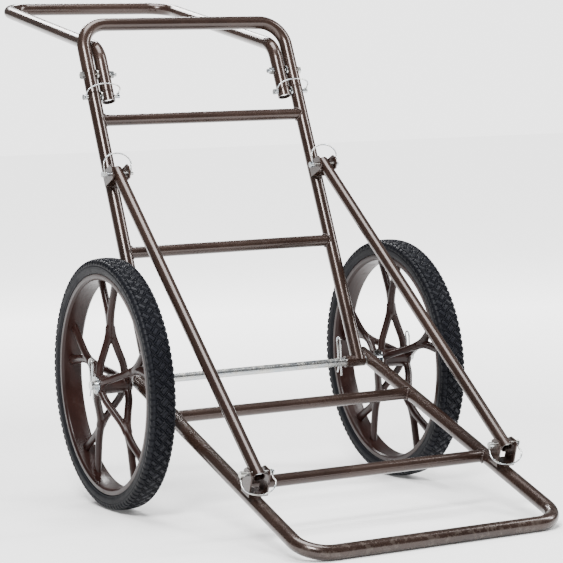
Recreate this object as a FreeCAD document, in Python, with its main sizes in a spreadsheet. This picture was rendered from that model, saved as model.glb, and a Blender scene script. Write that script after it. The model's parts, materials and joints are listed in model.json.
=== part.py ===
# Folding game cart: tubular base frame, reclining back frame, handle, struts and two spoked wheels.
import FreeCAD, Part
import math
import os
import Sketcher
from FreeCAD import Placement, Rotation, Vector

SIZES = [
    ("tube_diameter", 25.4), ("tube_wall", 1.6), ("bar_diameter", 22.0), ("bar_wall", 1.5),
    ("bend_radius", 50.0), ("axle_height", 228.6), ("axle_diameter", 15.9), ("axle_half_length", 338.0),
    ("base_half_width", 244.0), ("base_length", 671.6), ("base_tail", 33.0), ("base_slope", 18.75),
    ("base_bar_rear", 155.0), ("base_bar_front", 422.0),
    ("back_half_width", 217.5), ("back_length", 713.0), ("back_lean", 22.7),
    ("back_bar_upper", 514.0), ("back_bar_lower", 247.0),
    ("sleeve_bore", 16.1), ("sleeve_inner_end", 189.0), ("sleeve_outer_end", 229.0),
    ("handle_half_width", 188.8), ("handle_start", 552.0), ("handle_bend", 663.0),
    ("handle_turn", 56.1), ("handle_reach", 509.0), ("handle_pivot", 608.0), ("handle_lock", 563.0),
    ("pin_diameter", 8.0), ("pin_hole", 8.1), ("slot_width", 8.8), ("head_diameter", 11.0), ("head_length", 7.0),
    ("strut_pin_gap", 7.0), ("handle_pin_gap", 2.0),
    ("clevis_inner", 30.0), ("clevis_plate", 3.0), ("clevis_length", 28.0), ("clevis_height", 46.0),
    ("upper_pin_along", 390.0), ("upper_pin_offset", 40.0), ("upper_pin_x", 219.0),
    ("lower_pin_along", 475.0), ("lower_pin_offset", 49.0), ("lower_pin_x", 242.0), ("strut_overhang", 9.5),
    ("wire_diameter", 2.6), ("cotter_wire", 3.0),
    ("wheel_centre", 294.5), ("wheel_radius", 228.6), ("tyre_width", 47.0), ("rim_outer", 196.0),
    ("rim_inner", 189.5), ("rim_lip", 201.0), ("rim_width", 41.0),
    ("hub_half_length", 30.5), ("hub_radius", 16.0), ("hub_flange", 19.5), ("bush_outer", 11.0),
    ("spoke_join", 88.0), ("spoke_split", 125.0), ("spoke_spread", 32.0), ("spoke_thickness", 11.0),
    ("cotter_outer_x", 333.0), ("cotter_inner_x", 180.0),
]

doc = FreeCAD.newDocument("game_cart")
sheet = doc.addObject("Spreadsheet::Sheet", "sizes")
for row, (alias, value) in enumerate(SIZES, start=1):
    sheet.set("A%d" % row, alias)
    sheet.set("B%d" % row, str(value))
    sheet.setAlias("B%d" % row, alias)
doc.recompute()


def size(alias):
    """Read one driving size back from the sheet."""
    return float(sheet.get(alias))


def bind(item, **sizes):
    """Tie properties of an object to sheet expressions; bare words are sheet aliases."""
    for name, expression in sizes.items():
        for alias, _ in SIZES:
            expression = replace_word(expression, alias)
        item.setExpression(name, expression)
    return item


def replace_word(text, word):
    """Put the sheet's name in front of one alias where it stands as a whole word."""
    pieces = []
    current = ""
    for letter in text + " ":
        if letter.isalnum() or letter == "_":
            current += letter
        else:
            pieces.append("sizes." + word if current == word and not prefixed(pieces) else current)
            pieces.append(letter)
            current = ""
    return "".join(pieces).strip()


def prefixed(pieces):
    """True when the text so far ends in a dot, so the word already has its sheet name."""
    return bool(pieces) and pieces[-1] == "."


def turned(axis, degrees, base=(0, 0, 0)):
    """A placement at base, turned by degrees about axis."""
    return Placement(Vector(*base), Rotation(Vector(*axis), degrees))


TO_X = Rotation(Vector(0, 1, 0), 90)
TO_FRONT = Rotation(Vector(1, 0, 0), 90)

# Places of the three tube frames, measured from the axle line.
axle_y = -0.5 * (
    size("handle_bend") * math.sin(math.radians(size("back_lean")))
    + size("handle_reach") * math.cos(math.radians(90 - size("back_lean") - size("handle_turn")))
    - size("base_length") * math.cos(math.radians(size("base_slope")))
)
AXLE = Vector(0, axle_y, size("axle_height"))
BASE_FRAME = Placement(AXLE, Rotation(Vector(1, 0, 0), size("base_slope")))
BACK_FRAME = Placement(AXLE, Rotation(Vector(1, 0, 0), -size("back_lean")))
AXLE_FRAME = Placement(AXLE, Rotation())


def cylinder(name, place, radius, height):
    item = doc.addObject("Part::Cylinder", name)
    bind(item, Radius=radius, Height=height)
    item.Placement = place
    return item


def box(name, place, length, width, height):
    item = doc.addObject("Part::Box", name)
    bind(item, Length=length, Width=width, Height=height)
    item.Placement = place
    return item


def bend(name, place, ring, radius, angle):
    item = doc.addObject("Part::Torus", name)
    bind(item, Radius1=ring, Radius2=radius, Angle3=angle)
    item.Placement = place
    return item


def fuse(name, shapes):
    if len(shapes) == 1:
        return shapes[0]
    item = doc.addObject("Part::MultiFuse", name)
    item.Shapes = shapes
    return item


def cut(name, base, tools):
    item = doc.addObject("Part::Cut", name)
    item.Base = base
    item.Tool = fuse(name + "_tools", tools)
    return item


def group(name, shapes):
    item = doc.addObject("Part::Compound", name)
    item.Links = shapes
    return item


FINISHED = []


def finish(item, node, place):
    """Name a finished sub-part, put it in its place and keep it for export."""
    item.Label = node
    item.Placement = place
    FINISHED.append(item)
    return item


def frame_runs(name, radius, half_width, low, high, ring):
    """Solid U of one radius in the XZ plane: legs from z = low up to a bar at z = high."""
    x = size(half_width)
    r = size(ring)
    top = size(high) if isinstance(high, str) else high
    start = low
    leg = "%s - (%g) - %s" % (high, start, ring)
    runs = []
    for side, tag in ((-1, "left"), (1, "right")):
        runs.append(cylinder(name + "_leg_" + tag, turned((0, 0, 1), 0, (side * x, 0, start)), radius, leg))
        centre = Vector(side * (x - r), 0, top - r)
        angle = 90 if side < 0 else 0
        spin = Rotation(Vector(1, 0, 0), 90).multiply(Rotation(Vector(0, 0, 1), angle))
        runs.append(bend(name + "_bend_" + tag, Placement(centre, spin), ring, radius, "90"))
    bar_place = Placement(Vector(-(x - r), 0, top), TO_X)
    runs.append(cylinder(name + "_bar", bar_place, radius, "2 * (%s - %s)" % (half_width, ring)))
    return runs


def hollow_u(name, half_width, low, high, extra_cuts=None):
    """Bent tube in the XZ plane with open lower ends."""
    outer = fuse(name + "_outer", frame_runs(name + "_o", "tube_diameter / 2", half_width, low, high, "bend_radius"))
    inner = frame_runs(name + "_i", "tube_diameter / 2 - tube_wall", half_width, low, high, "bend_radius")
    return cut(name + "_cut", outer, inner + (extra_cuts or []))


def cross_hole(name, x_from, length, radius, y=0.0, z=0.0):
    """Cylinder along X for a hole."""
    return cylinder(name, Placement(Vector(x_from, y, z), TO_X), radius, length)


def cross_tube(name, half_width, z, radius, wall, tube_radius):
    """Straight tube between two legs, its ends coped to the legs' outside."""
    length = "2 * " + half_width
    x = -size(half_width)
    outer = cylinder(name + "_o", Placement(Vector(x, 0, z), TO_X), radius, length)
    inner = cylinder(name + "_i", Placement(Vector(x, 0, z), TO_X), radius + " - " + wall, length)
    tools = [inner]
    for side in (-1, 1):
        place = turned((0, 0, 1), 0, (side * size(half_width), 0, z - 40))
        tools.append(cylinder("%s_cope_%d" % (name, side + 1), place, tube_radius, "80"))
    return cut(name + "_cut", outer, tools)


# The base frame is drawn upright like the back frame, then laid forwards.
BASE_PLACE = Placement(AXLE, Rotation(Vector(1, 0, 0), 90 + size("base_slope")))


def base_point(x, offset, along):
    """Point given across, above and along the base legs, in the world."""
    return BASE_PLACE.multVec(Vector(x, offset, along))


def back_point(x, offset, along):
    """Point given across, in front of and along the back legs, in the world."""
    return BACK_FRAME.multVec(Vector(x, -offset, along))


def make_base():
    hole = cross_hole("base_axle_hole", -300, "600", "axle_diameter / 2 + 0.05")
    tail = -size("base_tail")
    tube = hollow_u("base_frame", "base_half_width", tail, "base_length", [hole])
    finish(tube, "base_frame_tube", BASE_PLACE)
    for tag in ("rear", "front"):
        z = size("base_bar_" + tag)
        bar = cross_tube("base_bar_" + tag + "_tube", "base_half_width", z, "bar_diameter / 2", "bar_wall",
                         "tube_diameter / 2")
        finish(bar, "base_crossbar_" + tag, BASE_PLACE)


def make_back():
    tools = [cross_hole("back_sleeve_cope", -300, "600", "bar_diameter / 2")]
    for tag in ("handle_pivot", "handle_lock"):
        tools.append(cross_hole("back_" + tag, -300, "600", "pin_hole / 2", 0, size(tag)))
    tube = hollow_u("back_frame", "back_half_width", 0.0, "back_length", tools)
    finish(tube, "back_frame_tube", BACK_FRAME)
    for tag in ("upper", "lower"):
        z = size("back_bar_" + tag)
        bar = cross_tube("back_bar_" + tag + "_tube", "back_half_width", z, "bar_diameter / 2", "bar_wall",
                         "tube_diameter / 2")
        finish(bar, "back_crossbar_" + tag, BACK_FRAME)
    for side, tag in ((-1, "left"), (1, "right")):
        start = size("sleeve_inner_end") if side > 0 else -size("sleeve_outer_end")
        length = "sleeve_outer_end - sleeve_inner_end"
        outer = cross_hole("sleeve_outer_" + tag, start, length, "bar_diameter / 2")
        inner = cross_hole("sleeve_inner_" + tag, start, length, "sleeve_bore / 2")
        finish(cut("sleeve_" + tag, outer, [inner]), "axle_sleeve_" + tag, BACK_FRAME)


def handle_solid(name, radius):
    """Handle path as one solid: two bent legs and the U they carry."""
    x = size("handle_half_width")
    r = size("bend_radius")
    turn = size("handle_turn")
    tangent = r * math.tan(math.radians(turn / 2))
    runs = []
    direction = Vector(0, math.sin(math.radians(turn)), math.cos(math.radians(turn)))
    corner = Vector(0, 0, size("handle_bend"))
    grip = Placement(corner, Rotation(Vector(1, 0, 0), -turn))
    for side, tag in ((-1, "left"), (1, "right")):
        low = turned((0, 0, 1), 0, (side * x, 0, size("handle_start")))
        height = "handle_bend - handle_start - bend_radius * tan(handle_turn / 2)"
        runs.append(cylinder(name + "_leg_" + tag, low, radius, height))
        centre = Vector(side * x, r, size("handle_bend") - tangent)
        # The ring starts at the leg's top and turns towards the grip.
        ring = Rotation(Vector(0, -1, 0), Vector(0, 0, 1), Vector(-1, 0, 0), "XYZ")
        runs.append(bend(name + "_curve_" + tag, Placement(centre, ring), "bend_radius", radius, "handle_turn"))
        start = grip.multVec(Vector(side * x, 0, tangent))
        place = Placement(start, Rotation(Vector(1, 0, 0), -turn))
        height = "handle_reach - bend_radius - bend_radius * tan(handle_turn / 2)"
        runs.append(cylinder(name + "_arm_" + tag, place, radius, height))
        centre = grip.multVec(Vector(side * (x - r), 0, size("handle_reach") - r))
        angle = 90 if side < 0 else 0
        spin = Rotation(Vector(1, 0, 0), -turn)
        spin = spin.multiply(Rotation(Vector(1, 0, 0), 90)).multiply(Rotation(Vector(0, 0, 1), angle))
        runs.append(bend(name + "_corner_" + tag, Placement(centre, spin), "bend_radius", radius, "90"))
    place = Placement(grip.multVec(Vector(-(x - r), 0, size("handle_reach"))), TO_X)
    runs.append(cylinder(name + "_grip", place, radius, "2 * (handle_half_width - bend_radius)"))
    return runs


def make_handle():
    outer = fuse("handle_outer", handle_solid("handle_o", "tube_diameter / 2"))
    tools = handle_solid("handle_i", "tube_diameter / 2 - tube_wall")
    tools.append(cross_hole("handle_pivot_hole", -300, "600", "pin_hole / 2", 0, size("handle_pivot")))
    tools.append(cross_hole("handle_lock_hole", -300, "600", "slot_width / 2", 0, size("handle_lock")))
    # Way out towards the back for the lock pins as the handle folds.
    half = size("slot_width") / 2
    place = turned((0, 0, 1), 0, (-300, 0, size("handle_lock") - half))
    tools.append(box("handle_lock_way", place, "600", "30", "slot_width + 3"))
    finish(cut("handle_cut", outer, tools), "handle_tube", BACK_FRAME)


def clevis(name, x, along, offset):
    """U bracket on a tube's crown; its pin hole is offset from the tube's centre line."""
    crown = size("tube_diameter") / 2
    half = size("clevis_inner") / 2 + size("clevis_plate")
    length = size("clevis_length")
    low = crown - 1.0
    outline = [(-length / 2, low), (length / 2, low), (length / 2, low + size("clevis_height") - 6),
               (length / 2 - 7, low + size("clevis_height")), (7 - length / 2, low + size("clevis_height")),
               (-length / 2, low + size("clevis_height") - 6)]
    points = [Vector(x - half, -v, along + u) for u, v in outline]
    face = doc.addObject("Part::Polygon", name + "_outline")
    face.Nodes = points
    face.Close = True
    solid = doc.addObject("Part::Extrusion", name + "_block")
    solid.Base = face
    solid.Dir = Vector(1, 0, 0)
    solid.Solid = True
    bind(solid, LengthFwd="clevis_inner + 2 * clevis_plate")
    floor = low + size("clevis_plate") + 1.0
    place = turned((1, 0, 0), 0, (x - size("clevis_inner") / 2, -floor - 60, along - 30))
    gap = box(name + "_gap", place, "clevis_inner", "60", "60")
    tube = cylinder(name + "_tube", turned((0, 0, 1), 0, (size_sign(x) * tube_x(name), 0, along - 30)),
                    "tube_diameter / 2", "60")
    hole = cross_hole(name + "_hole", x - half - 1, "clevis_inner + 2 * clevis_plate + 2", "pin_hole / 2",
                      -offset, along)
    return cut(name, solid, [gap, tube, hole])


def size_sign(x):
    return -1 if x < 0 else 1


def tube_x(name):
    """Distance from the middle of the tube that carries a bracket."""
    return size("back_half_width") if "upper" in name else size("base_half_width")


def mirror_place(place):
    """The base frame's local front points up, so brackets stand on its upper side."""
    return place.multiply(Placement(Vector(), Rotation(Vector(0, 0, 1), 180)))


def make_clevises():
    for side, tag in ((-1, "left"), (1, "right")):
        upper = clevis("clevis_upper_" + tag, side * size("upper_pin_x"), size("upper_pin_along"),
                       size("upper_pin_offset"))
        finish(upper, "clevis_upper_" + tag, BACK_FRAME)
        # Turning by half a turn swaps the sides, so the local side is the opposite one.
        lower = clevis("clevis_lower_" + tag, -side * size("lower_pin_x"), size("lower_pin_along"),
                       size("lower_pin_offset"))
        finish(lower, "clevis_lower_" + tag, mirror_place(BASE_PLACE))


def make_struts():
    for side, tag in ((-1, "left"), (1, "right")):
        low = base_point(side * size("lower_pin_x"), size("lower_pin_offset"), size("lower_pin_along"))
        high = back_point(side * size("upper_pin_x"), size("upper_pin_offset"), size("upper_pin_along"))
        run = high.sub(low)
        over = size("strut_overhang")
        direction = Vector(run).normalize()
        total = run.Length + 2 * over
        start = low.sub(Vector(direction).multiply(over))
        place = Placement(start, Rotation(Vector(0, 0, 1), direction))
        outer = cylinder("strut_outer_" + tag, place, "bar_diameter / 2", "%.4f" % total)
        inner = cylinder("strut_inner_" + tag, place, "bar_diameter / 2 - bar_wall", "%.4f" % total)
        hole = cylinder("strut_hole_" + tag, Placement(low.add(Vector(-30, 0, 0)), TO_X), "pin_hole / 2", "60")
        top = cylinder("strut_slot_end_" + tag, Placement(high.add(Vector(-30, 0, 0)), TO_X),
                       "slot_width / 2", "60")
        elevation = math.degrees(math.atan2(direction.z, direction.y))
        tilt = Rotation(Vector(1, 0, 0), elevation)
        corner = high.add(tilt.multVec(Vector(-30, 0, -size("slot_width") / 2)))
        way = box("strut_way_" + tag, Placement(corner, tilt), "60", "strut_overhang + 10", "slot_width")
        finish(cut("strut_cut_" + tag, outer, [inner, hole, top, way]), "strut_" + tag, Placement())


def pin(name, centre, reach_left, reach_right, gap):
    """Lock pin along X with its head on the left, drilled across for its wire."""
    head_x = centre.x - reach_left - gap - size("head_length")
    length = reach_left + gap + size("head_length") + reach_right
    shaft = cylinder(name + "_shaft", Placement(Vector(head_x, centre.y, centre.z), TO_X), "pin_diameter / 2",
                     "%.4f" % length)
    head = cylinder(name + "_head", Placement(Vector(head_x, centre.y, centre.z), TO_X), "head_diameter / 2",
                    "head_length")
    return fuse(name + "_body", [shaft, head]), head_x + size("head_length") / 2, head_x + length


def swept_wire(points, diameter):
    """Round wire along a smooth curve through the points."""
    curve = Part.BSplineCurve()
    curve.interpolate(points)
    spine = Part.Wire(curve.toShape())
    start = curve.value(curve.FirstParameter)
    tangent = curve.tangent(curve.FirstParameter)[0]
    profile = Part.Wire(Part.makeCircle(diameter / 2, start, tangent))
    return spine.makePipeShell([profile], True, False)


def wire_part(name, shape, node):
    item = doc.addObject("Part::Feature", name)
    item.Shape = shape
    finish(item, node, Placement())


def hoop(node, head, tip_x, lift):
    """Wire hoop: pivots in the head's cross hole and hooks over the pin's tip."""
    width = tip_x - head.x
    wire = size("wire_diameter")
    across = Vector(1, 0, 0).cross(lift)
    out = size("head_diameter") / 2 + wire / 2 + 1.0
    saddle = size("pin_diameter") / 2 + wire / 2 + 0.4
    tall = HOOP_HEIGHT[node.rsplit("_", 1)[0]]

    def at(x, up, side):
        return head + Vector(x, 0, 0) + Vector(lift).multiply(up) + Vector(across).multiply(side)

    path = [at(0, 0, side) for side in (-6.2, -5.0, -4.0, -2.8, -1.4, 0, 1.4, 2.8, 4.0, 5.0, 5.8)]
    path += [at(0, 0.7, out - 0.7), at(-0.1, 2.2, out), at(-0.3, 5.0, out)]
    for step in range(0, 13):
        angle = math.pi * (1 - step / 12.0)
        x = width / 2 + (width / 2 + 1.5) * math.cos(angle)
        up = 0.45 * tall + 0.55 * tall * math.sin(angle)
        path.append(at(x, up, out * (1 - step / 12.0)))
    path.append(at(width, saddle + 6.0, 1.5))
    for degrees in (80, 110, 140, 170, 195):
        turn = math.radians(degrees)
        path.append(at(width, saddle * math.sin(turn), saddle * math.cos(turn)))
    return swept_wire(path, wire)


HOOP_HEIGHT = {"hoop_upper": 38.0, "hoop_lower": 38.0, "hoop_handle": 31.0}


def make_pin_set(kind, tag, centre, reach_left, reach_right, lift):
    gap = size("handle_pin_gap" if kind == "handle" else "strut_pin_gap")
    body, head_x, tip_x = pin("pin_%s_%s" % (kind, tag), centre, reach_left, reach_right, gap)
    head = Vector(head_x, centre.y, centre.z)
    lift = Vector(lift).normalize()
    across = Vector(1, 0, 0).cross(lift)
    far = head.sub(Vector(across).multiply(10))
    drill = cylinder("drill_%s_%s" % (kind, tag), Placement(far, Rotation(Vector(0, 0, 1), across)),
                     "wire_diameter / 2 + 0.1", "20")
    finish(cut("lock_%s_%s" % (kind, tag), body, [drill]), "lock_pin_%s_%s" % (kind, tag), Placement())
    node = "hoop_%s_%s" % (kind, tag)
    wire_part(node + "_wire", hoop(node, head, tip_x - 3.0, lift), node)


def make_pins():
    half = size("clevis_inner") / 2 + size("clevis_plate")
    crown = size("tube_diameter") / 2
    for side, tag in ((-1, "left"), (1, "right")):
        high = back_point(side * size("upper_pin_x"), size("upper_pin_offset"), size("upper_pin_along"))
        lift = BACK_FRAME.Rotation.multVec(Vector(0, -0.25, 1))
        make_pin_set("upper", tag, high, half, half + 12, lift)
        low = base_point(side * size("lower_pin_x"), size("lower_pin_offset"), size("lower_pin_along"))
        lift = BASE_PLACE.Rotation.multVec(Vector(0, -math.sin(math.radians(38)), math.cos(math.radians(38))))
        make_pin_set("lower", tag, low, half, half + 12, lift)
        middle = side * (size("back_half_width") + size("handle_half_width")) / 2
        reach = (size("back_half_width") - size("handle_half_width")) / 2 + crown
        lock = back_point(middle, 0, size("handle_lock"))
        lift = BACK_FRAME.Rotation.multVec(Vector(0, -0.8, 0.6))
        make_pin_set("handle", tag, lock, reach, reach + 11, lift)


def hexagon(name, place, across_flats, height):
    item = doc.addObject("Part::Prism", name)
    item.Polygon = 6
    bind(item, Circumradius=across_flats + " / 1.7320508", Height=height)
    item.Placement = place
    return item


def make_handle_hardware():
    crown = size("tube_diameter") / 2
    outer = size("back_half_width") + crown
    inner = size("handle_half_width") - crown
    bolts = []
    nuts = []
    spacers = []
    z = size("handle_pivot")
    for side, tag in ((-1, "left"), (1, "right")):
        out = TO_X if side > 0 else Rotation(Vector(0, 1, 0), -90)
        into = TO_X if side < 0 else Rotation(Vector(0, 1, 0), -90)
        head = hexagon("bolt_head_" + tag, Placement(Vector(side * (outer + 0.0), 0, z), out), "13", "5.3")
        shank = cylinder("bolt_shank_" + tag, Placement(Vector(side * outer, 0, z), into), "pin_diameter / 2",
                         "%.4f" % (outer - inner + 13))
        bolts.append(fuse("bolt_" + tag, [head, shank]))
        nut = hexagon("nut_block_" + tag, Placement(Vector(side * (inner - 0.4), 0, z), into), "13", "6.5")
        bore = cylinder("nut_bore_" + tag, Placement(Vector(side * inner, 0, z), into), "pin_diameter / 2", "20")
        nuts.append(cut("nut_" + tag, nut, [bore]))
        face = side * (size("back_half_width") - crown)
        for place_z, word in ((z, "pivot"), (size("handle_lock"), "lock")):
            disc = cylinder("spacer_%s_%s" % (word, tag), Placement(Vector(face, 0, place_z), into), "10", "2.9")
            bore = cylinder("spacer_bore_%s_%s" % (word, tag), Placement(Vector(face, 0, place_z), into),
                            "pin_hole / 2", "3")
            spacers.append(cut("spacer_cut_%s_%s" % (word, tag), disc, [bore]))
    finish(group("bolts", bolts), "handle_bolts", BACK_FRAME)
    finish(group("nuts", nuts), "handle_nuts", BACK_FRAME)
    finish(group("spacers", spacers), "handle_spacers", BACK_FRAME)


def make_axle():
    x = size("axle_half_length")
    rod = cross_hole("axle_solid", -x, "2 * axle_half_length", "axle_diameter / 2")
    tools = []
    for side in (-1, 1):
        for tag in ("outer", "inner"):
            place = turned((0, 0, 1), 0, (side * size("cotter_" + tag + "_x"), 0, -20))
            tools.append(cylinder("axle_drill_%s_%d" % (tag, side + 1), place, "cotter_wire / 2 + 0.2", "40"))
    finish(cut("axle", rod, tools), "axle_rod", AXLE_FRAME)
    washers = []
    gaps = ((size("base_half_width") - size("tube_diameter") / 2 - 2.0, 10.8, 1.7),
            (size("wheel_centre") - size("hub_half_length") - 2.2, 19.0, 1.6),
            (size("wheel_centre") + size("hub_half_length") + 0.4, 16.0, 2.5))
    for side in (-1, 1):
        into = TO_X if side > 0 else Rotation(Vector(0, 1, 0), -90)
        for index, (start, radius, thick) in enumerate(gaps):
            place = Placement(Vector(side * start, 0, 0), into)
            tag = "%d_%d" % (side + 1, index)
            disc = cylinder("washer_" + tag, place, str(radius), str(thick))
            bore = cylinder("washer_bore_" + tag, place, "axle_diameter / 2 + 0.05", str(thick))
            washers.append(cut("washer_cut_" + tag, disc, [bore]))
    finish(group("washers", washers), "axle_washers", AXLE_FRAME)


def cotter(x):
    """Hair-pin cotter: straight leg down through the axle, bowed leg outside it."""
    wire = size("cotter_wire")
    clear = size("axle_diameter") / 2 + wire / 2 + 0.5

    def at(y, z):
        return AXLE + Vector(x, y, z)

    path = [at(0, -26), at(0, -10), at(0, 10), at(0, 30), at(0.3, 38), at(4, 46), at(9.5, 47), at(13, 42),
            at(12, 35), at(clear + 0.6, 25), at(clear + 0.2, 12), at(clear + 0.2, 0), at(clear + 0.6, -10),
            at(clear + 4.5, -20)]
    return swept_wire(path, wire)


def make_cotters():
    for side, tag in ((-1, "left"), (1, "right")):
        for kind in ("outer", "inner"):
            node = "cotter_%s_%s" % (kind, tag)
            wire_part(node + "_wire", cotter(side * size("cotter_%s_x" % kind)), node)


def outline_sketch(body, role, name, points):
    """Closed polygon on an origin plane, each corner tied to sheet expressions."""
    sketch = body.newObject("Sketcher::SketchObject", name)
    plane = [item for item in body.Origin.OriginFeatures if item.Role == role][0]
    sketch.AttachmentSupport = [(plane, "")]
    sketch.MapMode = "FlatFace"
    spots = []
    for along, up in points:
        spots.append((number(along), number(up)))
    count = len(spots)
    for index in range(count):
        start = Vector(*spots[index], 0)
        end = Vector(*spots[(index + 1) % count], 0)
        sketch.addGeometry(Part.LineSegment(start, end), False)
    for index in range(count):
        sketch.addConstraint(Sketcher.Constraint("Coincident", index, 2, (index + 1) % count, 1))
    for index, pair in enumerate(points):
        for kind, text, value in zip(("DistanceX", "DistanceY"), pair, spots[index]):
            key = sketch.addConstraint(Sketcher.Constraint(kind, -1, 1, index, 1, value))
            bind(sketch, **{"Constraints[%d]" % key: text})
    return sketch


def number(expression):
    """Value of an expression of sheet aliases."""
    text = expression
    for alias, _ in SIZES:
        text = replace_word(text, alias)
    value = sheet.evalExpression(text)
    return float(getattr(value, "Value", value))


def revolve(body, sketch, name):
    turn = body.newObject("PartDesign::Revolution", name)
    turn.Profile = sketch
    turn.ReferenceAxis = (sketch, ["H_Axis"])
    turn.Angle = 360
    return turn


def make_wheel(side, tag):
    centre = Placement(AXLE + Vector(side * size("wheel_centre"), 0, 0), Rotation())
    body = doc.addObject("PartDesign::Body", "wheel_body_" + tag)
    half = "rim_width / 2"
    rim = outline_sketch(body, "XZ_Plane", "rim_" + tag, [
        ("-" + half, "rim_inner + 3"), ("-" + half, "rim_lip"), ("-" + half + " + 3", "rim_lip"),
        ("-" + half + " + 3", "rim_outer"), (half + " - 3", "rim_outer"), (half + " - 3", "rim_lip"),
        (half, "rim_lip"), (half, "rim_inner + 3"), (half + " - 3", "rim_inner"), ("-" + half + " + 3", "rim_inner")])
    revolve(body, rim, "rim_ring_" + tag)
    hub = outline_sketch(body, "XZ_Plane", "hub_" + tag, [
        ("-hub_half_length", "bush_outer"), ("-hub_half_length", "hub_flange"),
        ("-hub_half_length + 5", "hub_flange"), ("-hub_half_length + 6", "hub_radius"),
        ("hub_half_length - 6", "hub_radius"), ("hub_half_length - 5", "hub_flange"),
        ("hub_half_length", "hub_flange"), ("hub_half_length", "bush_outer")])
    legs = outline_sketch(body, "XZ_Plane", "spoke_legs_" + tag, [
        ("-hub_half_length + 1", "hub_flange - 4"), ("-hub_half_length + 9", "hub_flange - 4"),
        ("0", "spoke_join - 13"), ("hub_half_length - 9", "hub_flange - 4"),
        ("hub_half_length - 1", "hub_flange - 4"), ("5", "spoke_join + 4"), ("-5", "spoke_join + 4")])
    stem = outline_sketch(body, "YZ_Plane", "spoke_stem_" + tag, [
        ("-spoke_thickness / 2", "spoke_join - 6"), ("spoke_thickness / 2", "spoke_join - 6"),
        ("spoke_thickness / 2", "spoke_split"), ("spoke_spread + 6", "rim_inner - 2"),
        ("spoke_spread + 5", "rim_inner + 2"), ("spoke_spread - 6", "rim_inner + 2"),
        ("spoke_spread - 7", "rim_inner - 4"), ("0", "spoke_split + 12"),
        ("-spoke_spread + 7", "rim_inner - 4"), ("-spoke_spread + 6", "rim_inner + 2"),
        ("-spoke_spread - 5", "rim_inner + 2"), ("-spoke_spread - 6", "rim_inner - 2"),
        ("-spoke_thickness / 2", "spoke_split")])
    leg_pad = pad(body, legs, "legs_pad_" + tag, "spoke_thickness")
    stem_pad = pad(body, stem, "stem_pad_" + tag, "11")
    pattern = body.newObject("PartDesign::PolarPattern", "spokes_" + tag)
    pattern.Originals = [leg_pad, stem_pad]
    pattern.Axis = (legs, ["H_Axis"])
    pattern.Angle = 360
    pattern.Occurrences = 5
    body.Tip = pattern
    revolve(body, hub, "hub_ring_" + tag)
    finish(body, "wheel_" + tag, centre)
    tyre = doc.addObject("PartDesign::Body", "tyre_body_" + tag)
    section = outline_sketch(tyre, "XZ_Plane", "tyre_section_" + tag, [
        ("-rim_width / 2 + 3", "rim_outer"), ("-rim_width / 2 + 3", "rim_lip"),
        ("-rim_width / 2", "rim_lip"), ("-rim_width / 2 - 0.6", "rim_lip + 1"),
        ("-tyre_width / 2", "rim_lip + 7"), ("-tyre_width / 2", "wheel_radius - 10"),
        ("-tyre_width / 2 + 1.5", "wheel_radius - 5"), ("-tyre_width / 2 + 7", "wheel_radius - 1.2"),
        ("-6", "wheel_radius"), ("6", "wheel_radius"),
        ("tyre_width / 2 - 7", "wheel_radius - 1.2"), ("tyre_width / 2 - 1.5", "wheel_radius - 5"),
        ("tyre_width / 2", "wheel_radius - 10"), ("tyre_width / 2", "rim_lip + 7"),
        ("rim_width / 2 + 0.6", "rim_lip + 1"), ("rim_width / 2", "rim_lip"),
        ("rim_width / 2 - 3", "rim_lip"), ("rim_width / 2 - 3", "rim_outer"),
        ("rim_width / 2 - 7", "rim_outer"), ("tyre_width / 2 - 5", "rim_lip + 8"),
        ("tyre_width / 2 - 6", "wheel_radius - 10"), ("tyre_width / 2 - 10", "wheel_radius - 6"),
        ("-tyre_width / 2 + 10", "wheel_radius - 6"), ("-tyre_width / 2 + 6", "wheel_radius - 10"),
        ("-tyre_width / 2 + 5", "rim_lip + 8"), ("-rim_width / 2 + 7", "rim_outer")])
    revolve(tyre, section, "tyre_ring_" + tag)
    finish(tyre, "tyre_" + tag, centre)
    bushes = []
    for end in (-1, 1):
        out = TO_X if end > 0 else Rotation(Vector(0, 1, 0), -90)
        place = Placement(Vector(end * (size("hub_half_length") - 18), 0, 0), out)
        sleeve = cylinder("bush_%s_%d" % (tag, end + 1), place, "bush_outer", "18")
        bore = cylinder("bush_bore_%s_%d" % (tag, end + 1), place, "sleeve_bore / 2", "18")
        bushes.append(cut("bush_cut_%s_%d" % (tag, end + 1), sleeve, [bore]))
    finish(group("bushes_" + tag, bushes), "hub_bushes_" + tag, centre)


def pad(body, sketch, name, length):
    item = body.newObject("PartDesign::Pad", name)
    item.Profile = sketch
    item.SideType = "Symmetric"
    bind(item, Length=length)
    return item


def check_and_export():
    """Stop on any invalid object or shape, then write one STEP file per node."""
    doc.recompute()
    for item in doc.Objects:
        if "Invalid" in item.State or "Error" in item.State:
            raise RuntimeError("bad object " + item.Name + " " + item.Label)
    os.makedirs("parts", exist_ok=True)
    for item in FINISHED:
        shape = item.Shape
        if shape.isNull() or not shape.isValid() or not shape.Solids:
            raise RuntimeError("bad shape " + item.Label)
        shape.exportStep("parts/" + item.Label + ".step")
        bounds = shape.BoundBox
        print("%-22s solids %d volume %10.1f  x %.1f %.1f  y %.1f %.1f  z %.1f %.1f" % (
            item.Label, len(shape.Solids), shape.Volume, bounds.XMin, bounds.XMax, bounds.YMin, bounds.YMax,
            bounds.ZMin, bounds.ZMax))


make_base()
make_back()
make_handle()
make_clevises()
make_struts()
make_pins()
make_handle_hardware()
make_axle()
make_cotters()
make_wheel(-1, "left")
make_wheel(1, "right")
check_and_export()
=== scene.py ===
"""Looks of the folding game cart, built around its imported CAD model."""
import json
import math

import bpy
import numpy as np
from mathutils import Matrix, Vector


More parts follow.
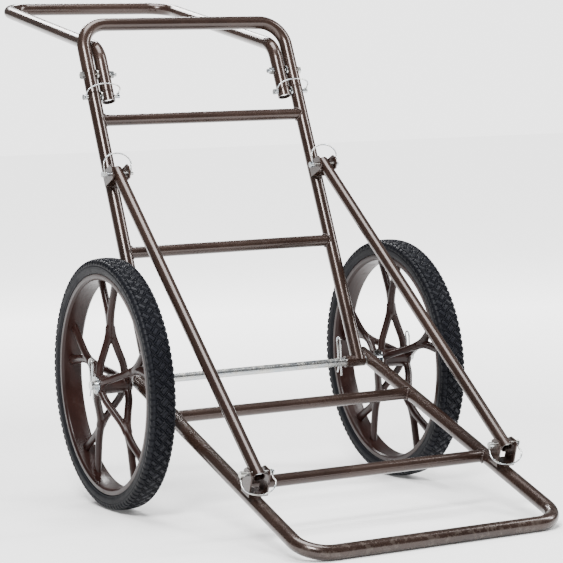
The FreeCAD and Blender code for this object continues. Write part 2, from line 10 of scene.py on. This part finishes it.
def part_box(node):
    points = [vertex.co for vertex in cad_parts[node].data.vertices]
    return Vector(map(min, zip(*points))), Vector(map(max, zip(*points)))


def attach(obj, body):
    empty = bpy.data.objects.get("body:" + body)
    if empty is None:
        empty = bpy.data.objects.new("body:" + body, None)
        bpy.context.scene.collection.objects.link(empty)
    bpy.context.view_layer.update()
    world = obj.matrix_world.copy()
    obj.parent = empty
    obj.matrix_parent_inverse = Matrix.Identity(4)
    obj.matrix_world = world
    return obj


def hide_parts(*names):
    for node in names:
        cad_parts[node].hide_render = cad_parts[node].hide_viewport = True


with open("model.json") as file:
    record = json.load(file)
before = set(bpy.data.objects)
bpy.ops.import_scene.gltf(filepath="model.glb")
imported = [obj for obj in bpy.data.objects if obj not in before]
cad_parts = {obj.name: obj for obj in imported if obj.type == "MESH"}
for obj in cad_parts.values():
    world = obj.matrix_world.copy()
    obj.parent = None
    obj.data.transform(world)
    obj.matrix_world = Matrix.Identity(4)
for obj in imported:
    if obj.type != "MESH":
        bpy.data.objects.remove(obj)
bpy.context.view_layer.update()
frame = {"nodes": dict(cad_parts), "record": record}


# ---- Base frame, back frame, handle and struts --------------------------------------------
# Round steel tube, bent cold on a former, its crossbars welded in, then powder coated in a
# glossy metallic brown. The coat pools a little thicker at the welds and is rubbed thin
# where the cart drags on the ground.

class Sock:
    """A shader socket that takes part in Python arithmetic."""

    def __init__(self, paint, socket):
        self.paint = paint
        self.socket = socket

    def _math(self, operation, *values):
        return self.paint.node("ShaderNodeMath", {"operation": operation}, dict(enumerate(values)))

    def __add__(self, other):
        return self._math("ADD", self, other)

    def __radd__(self, other):
        return self._math("ADD", other, self)

    def __sub__(self, other):
        return self._math("SUBTRACT", self, other)

    def __rsub__(self, other):
        return self._math("SUBTRACT", other, self)

    def __mul__(self, other):
        return self._math("MULTIPLY", self, other)

    def __rmul__(self, other):
        return self._math("MULTIPLY", other, self)

    def clamp(self):
        return self.paint.node("ShaderNodeClamp", {}, {0: self})


class Paint:
    """One procedural material and the nodes it is made of."""

    def __init__(self, name):
        self.material = bpy.data.materials.new(name)
        self.material.use_nodes = True
        self.tree = self.material.node_tree
        self.tree.nodes.clear()
        self.shader = self.tree.nodes.new("ShaderNodeBsdfPrincipled")
        out = self.tree.nodes.new("ShaderNodeOutputMaterial")
        self.tree.links.new(self.shader.outputs[0], out.inputs["Surface"])
        self.place = self.node("ShaderNodeTexCoord", {}, {}, "Object")

    def put(self, socket, value):
        if isinstance(value, Sock):
            self.tree.links.new(value.socket, socket)
        elif isinstance(value, tuple) and len(value) == 3 and socket.type == "RGBA":
            socket.default_value = (*value, 1.0)
        else:
            socket.default_value = value

    def node(self, kind, settings, inputs, output=0):
        made = self.tree.nodes.new(kind)
        for key, value in settings.items():
            setattr(made, key, value)
        for key, value in inputs.items():
            self.put(made.inputs[key], value)
        return Sock(self, made.outputs[output])

    def noise(self, scale, detail=3.0, rough=0.55, place=None):
        return self.node("ShaderNodeTexNoise", {}, {
            "Vector": place or self.place, "Scale": scale, "Detail": detail, "Roughness": rough})

    def spread(self, value, low, high):
        """0 at low, 1 at high, held at both ends."""
        return self.node("ShaderNodeMapRange", {},
                         {"Value": value, "From Min": low, "From Max": high})

    def mix(self, factor, first, second):
        """Two colours mixed; sockets 6, 7 and output 2 are the node's colour ones."""
        return self.node("ShaderNodeMix", {"data_type": "RGBA"},
                         {0: factor, 6: first, 7: second}, 2)

    def bump(self, height, strength, distance, under=None):
        inputs = {"Height": height, "Strength": strength, "Distance": distance}
        if under:
            inputs["Normal"] = under
        return self.node("ShaderNodeBump", {}, inputs)

    def surface(self, **sockets):
        for key, value in sockets.items():
            self.put(self.shader.inputs[key.replace("_", " ")], value)
        return self.material


def powder_coat():
    paint = Paint("brown_powder_coat")
    height = paint.node("ShaderNodeSeparateXYZ", {}, {"Vector": paint.place}, "Z")
    flakes = paint.spread(paint.noise(2600.0, 1.0), 0.56, 0.72)
    cloud = paint.spread(paint.noise(7.0, 4.0), 0.35, 0.65)
    peel = paint.noise(520.0, 2.0)
    base = paint.mix(cloud, (0.020, 0.0100, 0.0072), (0.031, 0.0165, 0.0118))
    base = paint.mix(flakes * 0.25, base, (0.13, 0.082, 0.062))
    ground = paint.spread(height, 0.045, 0.0)
    scuffs = (ground * paint.spread(paint.noise(90.0, 5.0), 0.52, 0.60)).clamp()
    base = paint.mix(scuffs * 0.5, base, (0.09, 0.072, 0.06))
    dust = paint.spread(paint.noise(34.0, 6.0), 0.55, 0.75)
    rough = 0.23 + 0.05 * cloud + 0.07 * dust + 0.20 * scuffs
    scratches = paint.spread(paint.noise(260.0, 8.0, 0.7), 0.64, 0.70)
    normal = paint.bump(peel, 0.10, 0.0004)
    normal = paint.bump(scratches, 0.06, 0.0002, normal)
    return paint.surface(Base_Color=base, Metallic=0.45, Roughness=rough, Normal=normal,
                         Coat_Weight=0.35, Coat_Roughness=0.10)


BROWN = powder_coat()


slots = {part["node"]: part["material_slot"] for part in frame["record"]["subparts"]}


def wear(name, material, round_angle=35):
    """Give a CAD node its finish and smooth its curved faces."""
    node = frame["nodes"][name]
    node.data.materials.clear()
    node.data.materials.append(material)
    node.data.shade_smooth()
    node.data.set_sharp_from_angle(angle=math.radians(round_angle))


def wear_all(slot_name, material, round_angle=35):
    """Give every CAD node with a material slot its finish."""
    for name, own_slot in slots.items():
        if own_slot == slot_name:
            wear(name, material, round_angle)


wear_all("brown_powder_coat", BROWN)


def shape(name, points, faces, material, body, round_angle):
    """A mesh piece that rides on a CAD body."""
    mesh = bpy.data.meshes.new(name)
    mesh.from_pydata([tuple(map(float, p)) for p in points], [],
                     [tuple(map(int, f)) for f in faces])
    mesh.materials.append(material)
    mesh.shade_smooth()
    mesh.set_sharp_from_angle(angle=math.radians(round_angle))
    made = bpy.data.objects.new(name, mesh)
    bpy.context.scene.collection.objects.link(made)
    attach(made, body)
    return made


def ring_faces(rows, columns, close_rows=False):
    """Quads over a grid whose columns wrap round."""
    faces = []
    for i in range(rows if close_rows else rows - 1):
        for j in range(columns):
            k = (j + 1) % columns
            n = (i + 1) % rows
            faces.append((i * columns + j, i * columns + k, n * columns + k, n * columns + j))
    return faces


def normals(spine):
    """Two steady normals along a line of points."""
    tangents = np.gradient(spine, axis=0)
    tangents /= np.linalg.norm(tangents, axis=1)[:, None]
    upright = abs(tangents[0][2]) >= 0.9
    seed = np.array([0.0, 1.0, 0.0]) if upright else np.array([0.0, 0.0, 1.0])
    first = []
    for tangent in tangents:
        seed = seed - tangent * seed.dot(tangent)
        seed = seed / np.linalg.norm(seed)
        first.append(seed)
    first = np.array(first)
    return first, np.cross(tangents, first)


def round_bar(spine, wide, deep, sides=20, close=False):
    """Points and faces of a closed oval bar swept along a spine."""
    spine = np.asarray(spine, float)
    first, second = normals(spine)
    wide = np.broadcast_to(wide, len(spine))
    deep = np.broadcast_to(deep, len(spine))
    turn = np.linspace(0, 2 * math.pi, sides, endpoint=False)
    points = []
    for centre, one, two, a, b in zip(spine, first, second, wide, deep):
        points += [centre + one * a * math.cos(t) + two * b * math.sin(t) for t in turn]
    faces = ring_faces(len(spine), sides, close)
    if not close:
        faces.append(tuple(reversed(range(sides))))
        faces.append(tuple((len(spine) - 1) * sides + j for j in range(sides)))
    return points, faces


# Sizes in metres and angles that the welds share with the CAD model. Distances along a
# frame run from the axle, down the base and up the back.
axle = (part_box("axle_rod")[0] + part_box("axle_rod")[1]) / 2
TUBE = 0.0127            # frame tube's radius
BAR = 0.011              # crossbar's radius
SLOPE = math.radians(18.75)
LEAN = math.radians(22.7)
BASE_HALF = 0.244        # half the distance between the base's legs
BACK_HALF = 0.2175
BASE_BARS = (0.155, 0.422)
BACK_BARS = (0.247, 0.514)
UPPER_BRACKET = (0.219, 0.390)   # distance from the middle, distance along the back
LOWER_BRACKET = (0.242, 0.475)
WEB_HALF = 0.0146        # half a bracket's web along its tube, to the middle of its weld
WELD_PROUD = 0.0006      # a weld's middle line stands this far off a tube
sides = ((-1, "left"), (1, "right"))
base_turn = Matrix.Rotation(math.radians(90) + SLOPE, 3, "X")
back_turn = Matrix.Rotation(-LEAN, 3, "X")


def weld_bead(name, turn, side, half_width, along, body):
    """Rippled bead where a crossbar meets a leg, along the line where the two tubes cross."""
    rng = np.random.default_rng(int(along * 1000) + side + 3)
    spine = []
    for t in np.linspace(0, 2 * math.pi, 96, endpoint=False):
        across = (BAR + WELD_PROUD) * math.cos(t)
        inward = math.sqrt(TUBE ** 2 - across ** 2) + WELD_PROUD
        lift = (BAR + WELD_PROUD) * math.sin(t)
        spot = Vector((side * (half_width - inward), across, along + lift))
        spine.append(tuple(axle + turn @ spot))
    ripple = 0.0019 + 0.0003 * np.sin(np.arange(96) * 2.3) + rng.normal(0, 0.00008, 96)
    points, faces = round_bar(spine, ripple, ripple, 12, True)
    shape(name, points, faces, BROWN, body, 80)


for side, word in sides:
    for index, along in enumerate(BASE_BARS):
        weld_bead("weld_base_%s_%d" % (word, index), base_turn, side, BASE_HALF, along, "base")
    for index, along in enumerate(BACK_BARS):
        weld_bead("weld_back_%s_%d" % (word, index), back_turn, side, BACK_HALF, along, "back")


def bracket_seam(name, turn, x, along, tube_x, flip, body):
    """Two fillet welds where a bracket's web sits on its tube; flip says on which face."""
    rng = np.random.default_rng(int(along * 1000) + int(x * 1000) + 900)
    for end in (-1, 1):
        spine = []
        for t in np.linspace(-0.42, 0.42, 30):
            local = Vector((tube_x + (TUBE + WELD_PROUD) * math.sin(t),
                            flip * (TUBE + 0.0004) * math.cos(t), along + end * WEB_HALF))
            spine.append(tuple(axle + turn @ local))
        ripple = 0.0018 + 0.0003 * np.sin(np.arange(30) * 2.1) + rng.normal(0, 0.0001, 30)
        points, faces = round_bar(spine, ripple, ripple, 12)
        shape("%s_%d" % (name, end + 1), points, faces, BROWN, body, 80)


for side, word in sides:
    bracket_seam("seam_upper_" + word, back_turn, side * UPPER_BRACKET[0], UPPER_BRACKET[1],
                 side * BACK_HALF, -1, "back")
    bracket_seam("seam_lower_" + word, base_turn, side * LOWER_BRACKET[0], LOWER_BRACKET[1],
                 side * BASE_HALF, 1, "base")


# ---- Axle, lock pins, wire hoops, cotters, bolts and washers ------------------------------
# Turned and bent steel wire and rod, bright zinc plated, with the faint blue and yellow
# clouds that the plating bath leaves and fine drawing lines along the rod.

def zinc():
    paint = Paint("bright_zinc")
    cloud = paint.spread(paint.noise(60.0, 4.0), 0.35, 0.65)
    spots = paint.spread(paint.noise(420.0, 3.0), 0.60, 0.70)
    base = paint.mix(cloud, (0.42, 0.46, 0.50), (0.55, 0.54, 0.50))
    base = paint.mix(spots * 0.5, base, (0.25, 0.25, 0.25))
    stretched = paint.node("ShaderNodeMapping", {},
                           {"Vector": paint.place, "Scale": (8.0, 900.0, 900.0)})
    lines = paint.noise(1.0, 3.0, 0.6, stretched)
    rough = 0.20 + 0.10 * cloud + 0.14 * spots
    normal = paint.bump(lines, 0.10, 0.0002)
    return paint.surface(Base_Color=base, Metallic=1.0, Roughness=rough, Normal=normal)


ZINC = zinc()
wear_all("zinc_steel", ZINC, 30)


# ---- Wheels -------------------------------------------------------------------------------
# One injection moulding each in dark reddish-brown nylon: rim, hub and five forked spokes
# whose two inner legs run to the ends of the hub. Satin, with flow marks and a few scuffs.

def wheel_plastic():
    paint = Paint("brown_wheel_plastic")
    flow = paint.spread(paint.noise(14.0, 5.0), 0.35, 0.65)
    grain = paint.noise(900.0, 2.0)
    dirt = paint.spread(paint.noise(55.0, 6.0), 0.58, 0.72)
    base = paint.mix(flow, (0.0105, 0.0036, 0.0028), (0.0175, 0.0064, 0.0049))
    base = paint.mix(dirt * 0.15, base, (0.040, 0.027, 0.022))
    rough = 0.27 + 0.07 * flow + 0.14 * dirt
    return paint.surface(Base_Color=base, Roughness=rough,
                         Normal=paint.bump(grain, 0.12, 0.0003), Specular_IOR_Level=0.22)


WHEEL_BROWN = wheel_plastic()
WHEEL_X = 0.2945         # distance of each wheel's middle from the cart's
HUB = 0.0305             # half the hub's length
BORE = 0.0105            # the hub's, that the bushes fill
SPOKES = 5


def revolved(profile, centre, steps):
    """Closed ring about the X axis from (x, radius) corners."""
    points = []
    for t in np.linspace(0, 2 * math.pi, steps, endpoint=False):
        for x, r in profile:
            points.append((centre[0] + x, centre[1] + r * math.cos(t),
                           centre[2] + r * math.sin(t)))
    return points, ring_faces(steps, len(profile), True)


def rounded(profile, reach, steps=4):
    """Corners of a closed outline, each rounded off by reach."""
    out = []
    profile = [np.array(p, float) for p in profile]
    for before, corner, after in zip(profile[-1:] + profile[:-1], profile,
                                     profile[1:] + profile[:1]):
        one = before - corner
        two = after - corner
        cut = min(reach, 0.45 * np.linalg.norm(one), 0.45 * np.linalg.norm(two))
        start = corner + one / np.linalg.norm(one) * cut
        end = corner + two / np.linalg.norm(two) * cut
        for t in np.linspace(0, 1, steps + 1):
            point = (1 - t) ** 2 * start + 2 * t * (1 - t) * corner + t ** 2 * end
            out.append(tuple(point))
    return out


def together(pieces):
    """Join several (points, faces) lists into one."""
    points, faces = [], []
    for some, more in pieces:
        start = len(points)
        points += [tuple(p) for p in some]
        faces += [tuple(i + start for i in face) for face in more]
    return points, faces


def smooth_path(corners, steps):
    """Catmull-Rom line through the corners."""
    knots = [np.array(c, float) for c in corners]
    knots = [2 * knots[0] - knots[1]] + knots + [2 * knots[-1] - knots[-2]]
    line = []
    for a, b, c, d in zip(knots, knots[1:], knots[2:], knots[3:]):
        for t in np.linspace(0, 1, steps, endpoint=False):
            line.append(0.5 * (2 * b + (c - a) * t + (2 * a - 5 * b + 4 * c - d) * t * t
                               + (3 * b - a - 3 * c + d) * t ** 3))
    line.append(knots[-2])
    return np.array(line)


def spoke(angle, centre):
    """One spoke: two legs from the hub's ends, a short stem and a fork to the rim.

    at() takes the place across the wheel, out from its middle and sideways from the spoke.
    """
    out = np.array([0.0, math.cos(angle), math.sin(angle)])
    round_ = np.array([0.0, -math.sin(angle), math.cos(angle)])
    across = np.array([1.0, 0.0, 0.0])
    centre = np.array(centre)

    def at(x, r, s):
        return centre + across * x + out * r + round_ * s

    bars = []
    for end in (-1, 1):
        path = smooth_path([at(end * (HUB - 0.005), 0.014, 0), at(end * (HUB - 0.0085), 0.036, 0),
                            at(end * 0.0125, 0.062, 0), at(end * 0.0045, 0.086, 0),
                            at(end * 0.002, 0.104, 0)], 8)
        bars.append(round_bar(path, 0.0066, 0.0072))
    for end in (-1, 1):
        path = smooth_path([at(0, 0.084, 0), at(0, 0.112, end * 0.0015),
                            at(0, 0.134, end * 0.0075), at(0, 0.160, end * 0.0195),
                            at(0, 0.180, end * 0.029), at(0, 0.1935, end * 0.0345)], 8)
        grow = np.linspace(0, 1, len(path))
        bars.append(round_bar(path, 0.0078 + 0.0034 * grow ** 4, 0.0072 - 0.0010 * grow))
    return together(bars)


def make_wheel(side, word):
    """Spokes and hub melted into one moulding, and the rim and hub flanges as crisp rings."""
    centre = (side * WHEEL_X, axle.y, axle.z)
    spokes = [spoke(math.radians(90 + 360 / SPOKES * i), centre) for i in range(SPOKES)]
    barrel = revolved([(-HUB + 0.001, BORE), (-HUB + 0.001, 0.0175), (HUB - 0.001, 0.0175),
                       (HUB - 0.001, BORE)], centre, 64)
    points, faces = together(spokes + [barrel])
    web = shape("spokes_" + word, points, faces, WHEEL_BROWN, "wheel_" + word, 60)
    remesh = web.modifiers.new("one_moulding", "REMESH")
    remesh.mode = "VOXEL"
    remesh.voxel_size = 0.0014
    remesh.use_smooth_shade = True
    soften = web.modifiers.new("moulded_fillets", "SMOOTH")
    soften.iterations = 7
    soften.factor = 0.55
    rim = rounded([(-0.0205, 0.1925), (-0.0205, 0.2010), (-0.0180, 0.2010), (-0.0175, 0.1965),
                   (0.0175, 0.1965), (0.0180, 0.2010), (0.0205, 0.2010), (0.0205, 0.1925),
                   (0.0165, 0.1895), (0.004, 0.1885), (-0.004, 0.1885), (-0.0165, 0.1895)],
                  0.0012, 3)
    flange = rounded([(HUB - 0.0065, BORE), (HUB - 0.0065, 0.0185), (HUB - 0.005, 0.0195),
                      (HUB, 0.0195), (HUB, 0.0165), (HUB - 0.0018, 0.0150),
                      (HUB - 0.0018, 0.0120), (HUB, 0.0112)], 0.0006, 2)
    other = [(-x, r) for x, r in reversed(flange)]
    points, faces = together([revolved(rim, centre, 240), revolved(flange, centre, 96),
                              revolved(other, centre, 96)])
    ring = shape("rim_" + word, points, faces, WHEEL_BROWN, "wheel_" + word, 40)
    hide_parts("wheel_" + word)
    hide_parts("wheel_" + word)


# ---- Hub bushes ---------------------------------------------------------------------------
# Two plain black plastic sleeves in each hub, turned or moulded and pressed in from its
# ends. Only their end faces show, round the axle.

def bush_plastic():
    paint = Paint("black_bush_plastic")
    grain = paint.noise(700.0, 3.0)
    base = paint.mix(grain, (0.012, 0.012, 0.012), (0.030, 0.029, 0.028))
    return paint.surface(Base_Color=base, Roughness=0.4 + 0.2 * grain,
                         Normal=paint.bump(grain, 0.1, 0.0002))


BUSH_BLACK = bush_plastic()
wear_all("bush_plastic", BUSH_BLACK)


# ---- Tyres --------------------------------------------------------------------------------
# Blue-black rubber moulded round the rim: a crown of small diagonal blocks laid like
# basket-weave, square knobs along each shoulder and a smooth sidewall with fine rings.

def tyre_rubber():
    """The mesh's UV map holds the distance round the tyre and the share of its height."""
    paint = Paint("tyre_rubber")
    placed = paint.node("ShaderNodeUVMap", {}, {})
    along, height = [paint.node("ShaderNodeSeparateXYZ", {}, {"Vector": placed}, axis)
                     for axis in ("X", "Y")]
    dust = paint.spread(paint.noise(48.0, 6.0, 0.65), 0.50, 0.72)
    fine = paint.noise(1300.0, 3.0)
    worn = paint.spread(height, 0.80, 1.0)
    cloud = paint.spread(paint.noise(9.0, 4.0), 0.35, 0.65)
    base = paint.mix(cloud, (0.0015, 0.0017, 0.0030), (0.0030, 0.0034, 0.0054))
    base = paint.mix(worn * 0.6, base, (0.0095, 0.0102, 0.0135))
    base = paint.mix(dust * 0.07, base, (0.030, 0.030, 0.031))
    ribs = paint.node("ShaderNodeMath", {"operation": "SINE"}, {0: along * 2200.0})
    rough = 0.50 + 0.14 * dust - 0.08 * worn
    normal = paint.bump(fine, 0.25, 0.0004)
    normal = paint.bump(ribs, 0.06, 0.0002, normal)
    return paint.surface(Base_Color=base, Roughness=rough, Normal=normal,
                         Specular_IOR_Level=0.10)


RUBBER = tyre_rubber()
TYRE_R = 0.2286          # over the tread
SEAT_R = 0.1968          # the tyre's inner radius, on the rim
STEPS = 1500             # rows of points round a tyre
BLOCKS = 68              # tread blocks round the tyre
KNOBS = 114              # shoulder knobs round the tyre
BLOCK_WIDE = 0.0208      # one block across the tread
TREAD_HALF = 0.0155      # half the crown's width
SHOULDER_X = 0.0166      # the knobs lie outside this and
SHOULDER_R = 0.2175      # above this radius


def tread_depth(u, x):
    """How far the tread is cut back at distance u round the tyre and x across it."""
    cell = TYRE_R * 2 * math.pi / BLOCKS
    a = u / cell + x / BLOCK_WIDE
    b = u / cell - x / BLOCK_WIDE
    edge = np.minimum(np.abs(a - np.round(a)), np.abs(b - np.round(b)))
    weave = np.where((np.floor(a) + np.floor(b)) % 2 == 0, a, b)
    stripe = np.abs((weave * 2) % 1.0 - 0.5) * 2
    cut = 0.0030 * np.clip(1 - edge / 0.10, 0, 1) ** 0.5
    cut = np.maximum(cut, 0.0028 * np.clip(1 - stripe / 0.20, 0, 1) ** 0.5)
    return np.where(np.abs(x) < 0.0158, cut, 0.0)


def knob_depth(u, across):
    """How far the shoulder is cut back between its square knobs."""
    pitch = TYRE_R * 2 * math.pi / KNOBS
    phase = np.abs((u / pitch + np.sign(across) * 0.25) % 1.0 - 0.5) * 2
    return 0.0017 * np.clip((phase - 0.60) / 0.12, 0, 1)


def make_tyre(side, word):
    """One tyre, its section run round the wheel and cut back by the tread and the knobs."""
    wall = [(0.0176, SEAT_R), (0.0178, 0.2008), (0.0206, 0.2013), (0.0212, 0.2022),
            (0.0217, 0.2034), (0.0216, 0.2042), (0.0222, 0.2052), (0.0229, 0.2074),
            (0.0233, 0.2100), (0.0235, 0.2130), (0.0235, 0.2150), (0.0230, 0.2156),
            (0.0235, 0.2163), (0.0235, 0.2190), (0.0234, 0.2204), (0.0231, 0.2222),
            (0.0226, 0.2234), (0.0219, 0.2244), (0.0209, 0.2253), (0.0198, 0.2260),
            (0.0188, 0.2264), (0.0178, 0.2267), (0.0170, 0.2266), (0.0165, 0.2252),
            (0.0160, 0.2270)]
    crown = [(x, TYRE_R - 0.0013 * (x / TREAD_HALF) ** 2)
             for x in np.linspace(TREAD_HALF, -TREAD_HALF, 39)]
    mirrored = [(-x, r) for x, r in reversed(wall)]
    seat = [(-0.0140, SEAT_R), (0.0140, SEAT_R)]
    profile = np.array(wall + crown + mirrored + seat)
    x, r = profile[:, 0], profile[:, 1]
    points, shade = [], []
    for step in range(STEPS):
        t = 2 * math.pi * step / STEPS
        u = t * TYRE_R
        cut = np.where(r > 0.2268, tread_depth(u, x), 0.0)
        shoulder = (np.abs(x) > SHOULDER_X) & (r > SHOULDER_R)
        fade = np.clip((r - SHOULDER_R) / 0.004, 0, 1)
        cut = np.where(shoulder, knob_depth(u, x) * fade, cut)
        radius = r - cut
        inward = np.where(shoulder, np.sign(x) * cut * 0.45, 0.0)
        for a, b in zip(x - inward, radius):
            points.append((side * WHEEL_X + a, axle.y + b * math.cos(t),
                           axle.z + b * math.sin(t)))
        shade += [(u, (b - SEAT_R) / (TYRE_R - SEAT_R)) for b in radius]
    faces = ring_faces(STEPS, len(profile), True)
    tyre = shape("tread_" + word, points, faces, RUBBER, "wheel_" + word, 50)
    layer = tyre.data.uv_layers.new(name="UVMap")
    spots = np.array([loop.vertex_index for loop in tyre.data.loops])
    layer.data.foreach_set("uv", np.array(shade, np.float32)[spots].ravel())
    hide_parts("tyre_" + word)


for side, word in sides:
    make_wheel(side, word)
    make_tyre(side, word)


# ---- Floor, light and camera --------------------------------------------------------------
# A plain white studio sweep under large soft boxes, seen from the cart's front left; the floor
# also glows with painted light, faint near the cart and bright white further out.

def floor_white():
    paint = Paint("studio_floor_painted_glow")
    mottle = paint.noise(3.0, 3.0)
    # Painted glow: the floor emits light of its own, faint within 1 m of the middle and rising to
    # bright white by 3.5 m out, so that the far floor reads as white.
    reach = paint.node("ShaderNodeVectorMath", {"operation": "LENGTH"}, {0: paint.place}, "Value")
    lit = paint.spread(reach, 1.0, 3.5)
    painted_glow = paint.mix(lit, (0.12, 0.12, 0.12), (2.7, 2.7, 2.7))
    base = paint.mix(mottle, (0.90, 0.90, 0.90), (0.93, 0.93, 0.93))
    return paint.surface(Base_Color=base, Roughness=0.9, Emission_Color=painted_glow,
                         Emission_Strength=1.0)


def lay_floor(half):
    mesh = bpy.data.meshes.new("floor")
    corners = [(-half, -half, 0), (half, -half, 0), (half, half, 0), (-half, half, 0)]
    mesh.from_pydata(corners, [], [(0, 1, 2, 3)])
    mesh.materials.append(floor_white())
    floor = bpy.data.objects.new("floor", mesh)
    bpy.context.scene.collection.objects.link(floor)


def soft_box(name, place, wide, tall, power):
    """A large lamp that faces the cart's middle."""
    target = Vector((0.0, 0.0, 0.4))
    light = bpy.data.lights.new(name, "AREA")
    light.shape = "RECTANGLE"
    light.size = wide
    light.size_y = tall
    light.energy = power
    made = bpy.data.objects.new(name, light)
    made.location = place
    made.rotation_euler = (target - Vector(place)).to_track_quat("-Z", "Y").to_euler()
    bpy.context.scene.collection.objects.link(made)


def light_world(lit, seen):
    """White surroundings, dimmer as light than as the background that is seen."""
    world = bpy.data.worlds.new("studio")
    bpy.context.scene.world = world
    world.use_nodes = True
    nodes = world.node_tree.nodes
    sky = nodes["Background"]
    sky.inputs[0].default_value = (1.0, 1.0, 1.0, 1.0)
    rays = nodes.new("ShaderNodeLightPath")
    level = nodes.new("ShaderNodeMapRange")
    level.inputs["To Min"].default_value = lit
    level.inputs["To Max"].default_value = seen
    world.node_tree.links.new(rays.outputs["Is Camera Ray"], level.inputs["Value"])
    world.node_tree.links.new(level.outputs[0], sky.inputs[1])


def set_camera(place, yaw, pitch, roll):
    """A long lens from the cart's front left, its view shifted a little off centre."""
    forward = Vector((-math.sin(yaw) * math.cos(pitch), math.cos(yaw) * math.cos(pitch),
                      math.sin(pitch)))
    right = Vector((math.cos(yaw), math.sin(yaw), 0.0))
    down = -right.cross(forward)
    rolled_right = right * math.cos(roll) - down * math.sin(roll)
    rolled_down = right * math.sin(roll) + down * math.cos(roll)
    lens = bpy.data.cameras.new("camera")
    lens.sensor_width = 36.0
    lens.lens = 141.66
    lens.shift_x = -0.0155
    lens.shift_y = 0.0046
    lens.clip_end = 200.0
    camera = bpy.data.objects.new("camera", lens)
    turn = Matrix((rolled_right, -rolled_down, -forward)).transposed()
    camera.matrix_world = Matrix.Translation(place) @ turn.to_4x4()
    bpy.context.scene.collection.objects.link(camera)
    bpy.context.scene.camera = camera


lay_floor(30)
soft_box("key", (-2.0, -2.6, 3.4), 1.2, 1.2, 300)
soft_box("side", (3.2, -1.2, 2.6), 0.6, 2.6, 150)
soft_box("rear", (0.5, 3.2, 3.0), 2.4, 0.6, 140)
soft_box("top", (0.0, 0.0, 4.2), 2.4, 2.4, 260)
light_world(0.22, 3.2)
set_camera((-1.8634, axle.y - 3.6779, 0.727),
           math.radians(-27.8), math.radians(-4.7), math.radians(-1.8))
